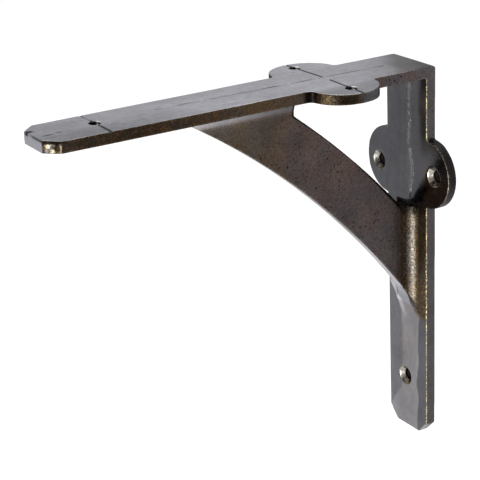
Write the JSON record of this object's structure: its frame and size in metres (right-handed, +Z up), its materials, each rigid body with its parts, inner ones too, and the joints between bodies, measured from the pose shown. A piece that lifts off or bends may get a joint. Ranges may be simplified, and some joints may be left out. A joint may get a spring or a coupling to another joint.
{
  "type": "shelf bracket",
  "caption": "Cast-iron shelf bracket: a flat arm and a flat wall leg joined by a thin curved brace, with round screw lobes on both bars and clipped free ends.",
  "frame": {"origin": "on the wall face of the leg, midway between the leg's two lobe holes", "axes": "+Y into the wall, +Z up out of the shelf face, X across the bars; the arm points along -Y"},
  "size_m": [0.0518, 0.158, 0.153],
  "materials": {
    "cast_iron": "dark waxed casting with a soft gloss, worn bright on its edges"
  },
  "bodies": {
    "root": {"bracket_casting": "cast_iron"}
  },
  "joints": []
}
